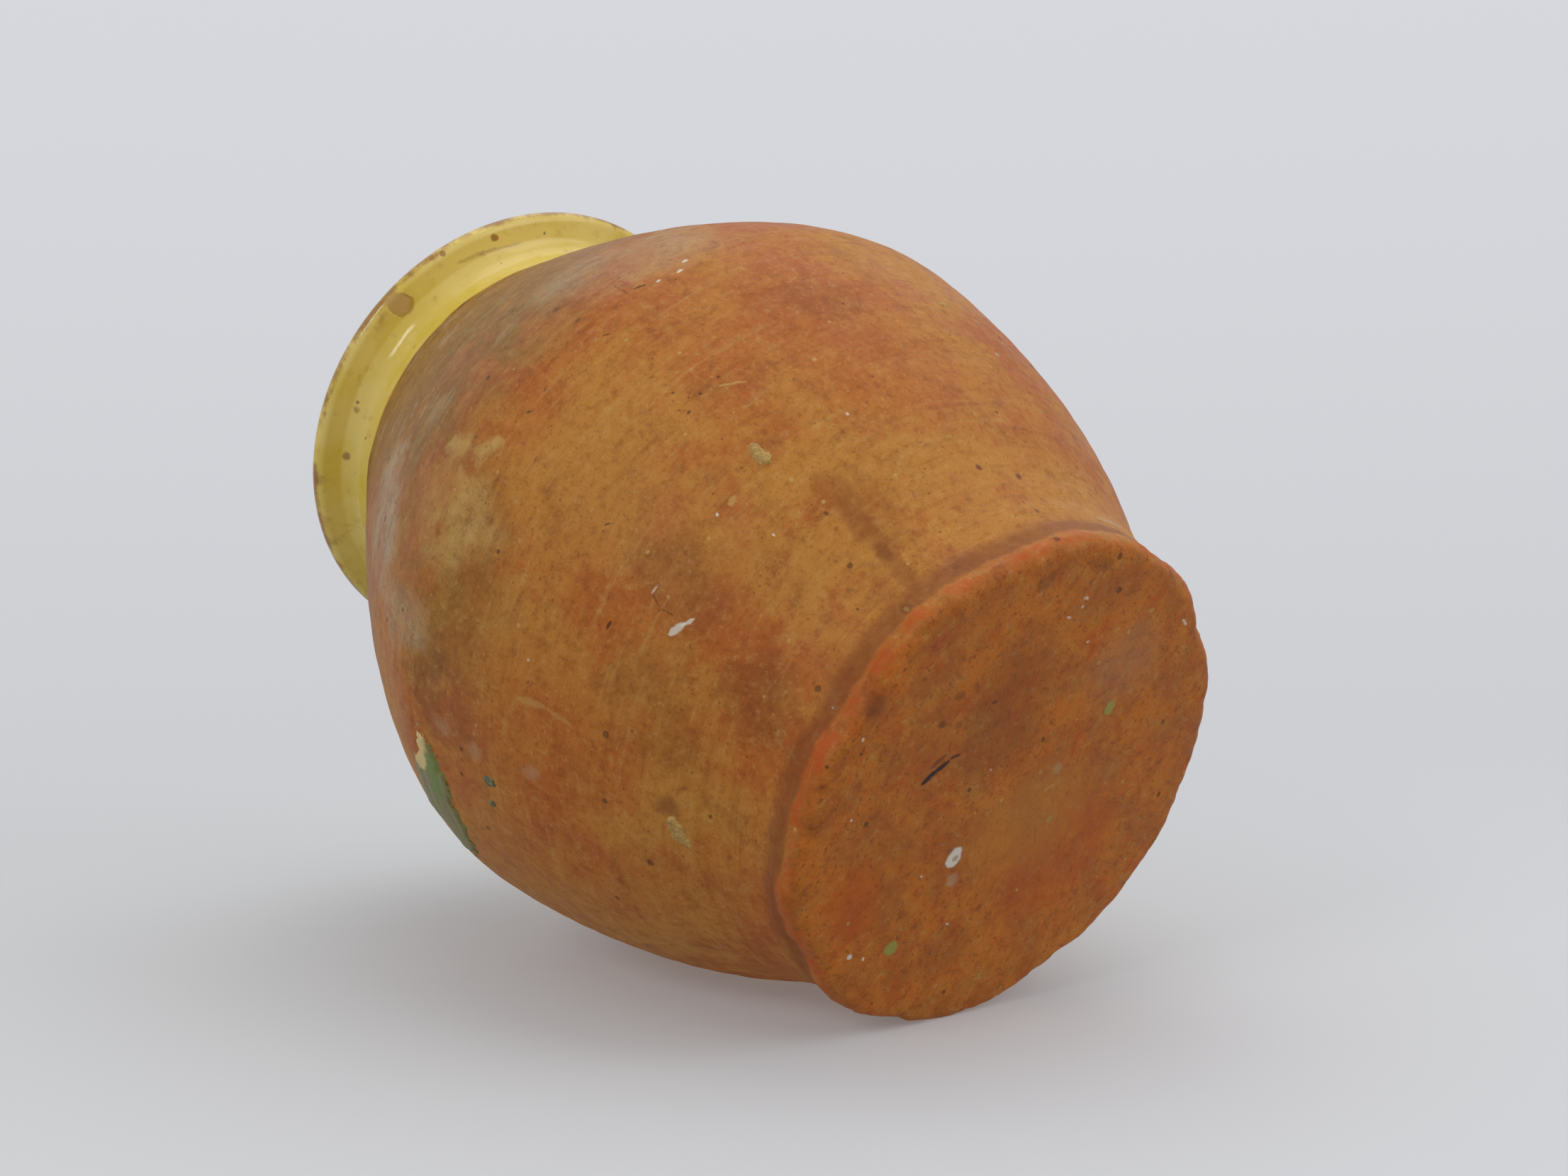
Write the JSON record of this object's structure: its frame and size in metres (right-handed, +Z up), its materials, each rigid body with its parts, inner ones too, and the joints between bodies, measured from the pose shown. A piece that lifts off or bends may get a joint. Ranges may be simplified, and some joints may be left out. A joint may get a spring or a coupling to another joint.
{
  "type": "grease pot",
  "caption": "Round-bellied clay storage jar with a flared, glazed collar, a folded lip, a glazed lining and a spreading flat foot.",
  "frame": {"origin": "centre of the flat base face, on the surface that the pot stands on", "axes": "+Z up along the pot's turning axis, from the base to the mouth; the side that the picture shows best faces -Y"},
  "size_m": [0.263, 0.263, 0.302],
  "materials": {
    "raw_clay": "matt, slightly burnished, mottled ochre and rust",
    "yellow_glaze": "glossy lead-type glaze, honey yellow, pinholed",
    "scar_glaze": "semi-gloss, broken, green and cream",
    "crust": "rough and dry"
  },
  "bodies": {
    "root": {"foot_slab": "raw_clay", "lower_wall": "raw_clay", "shoulder": "raw_clay", "collar": "raw_clay", "rim_fold": "raw_clay", "inside_glaze": "yellow_glaze", "collar_glaze": "yellow_glaze", "kiln_scar": "scar_glaze", "glaze_drops": "scar_glaze", "wall_crusts": "crust"}
  },
  "joints": []
}
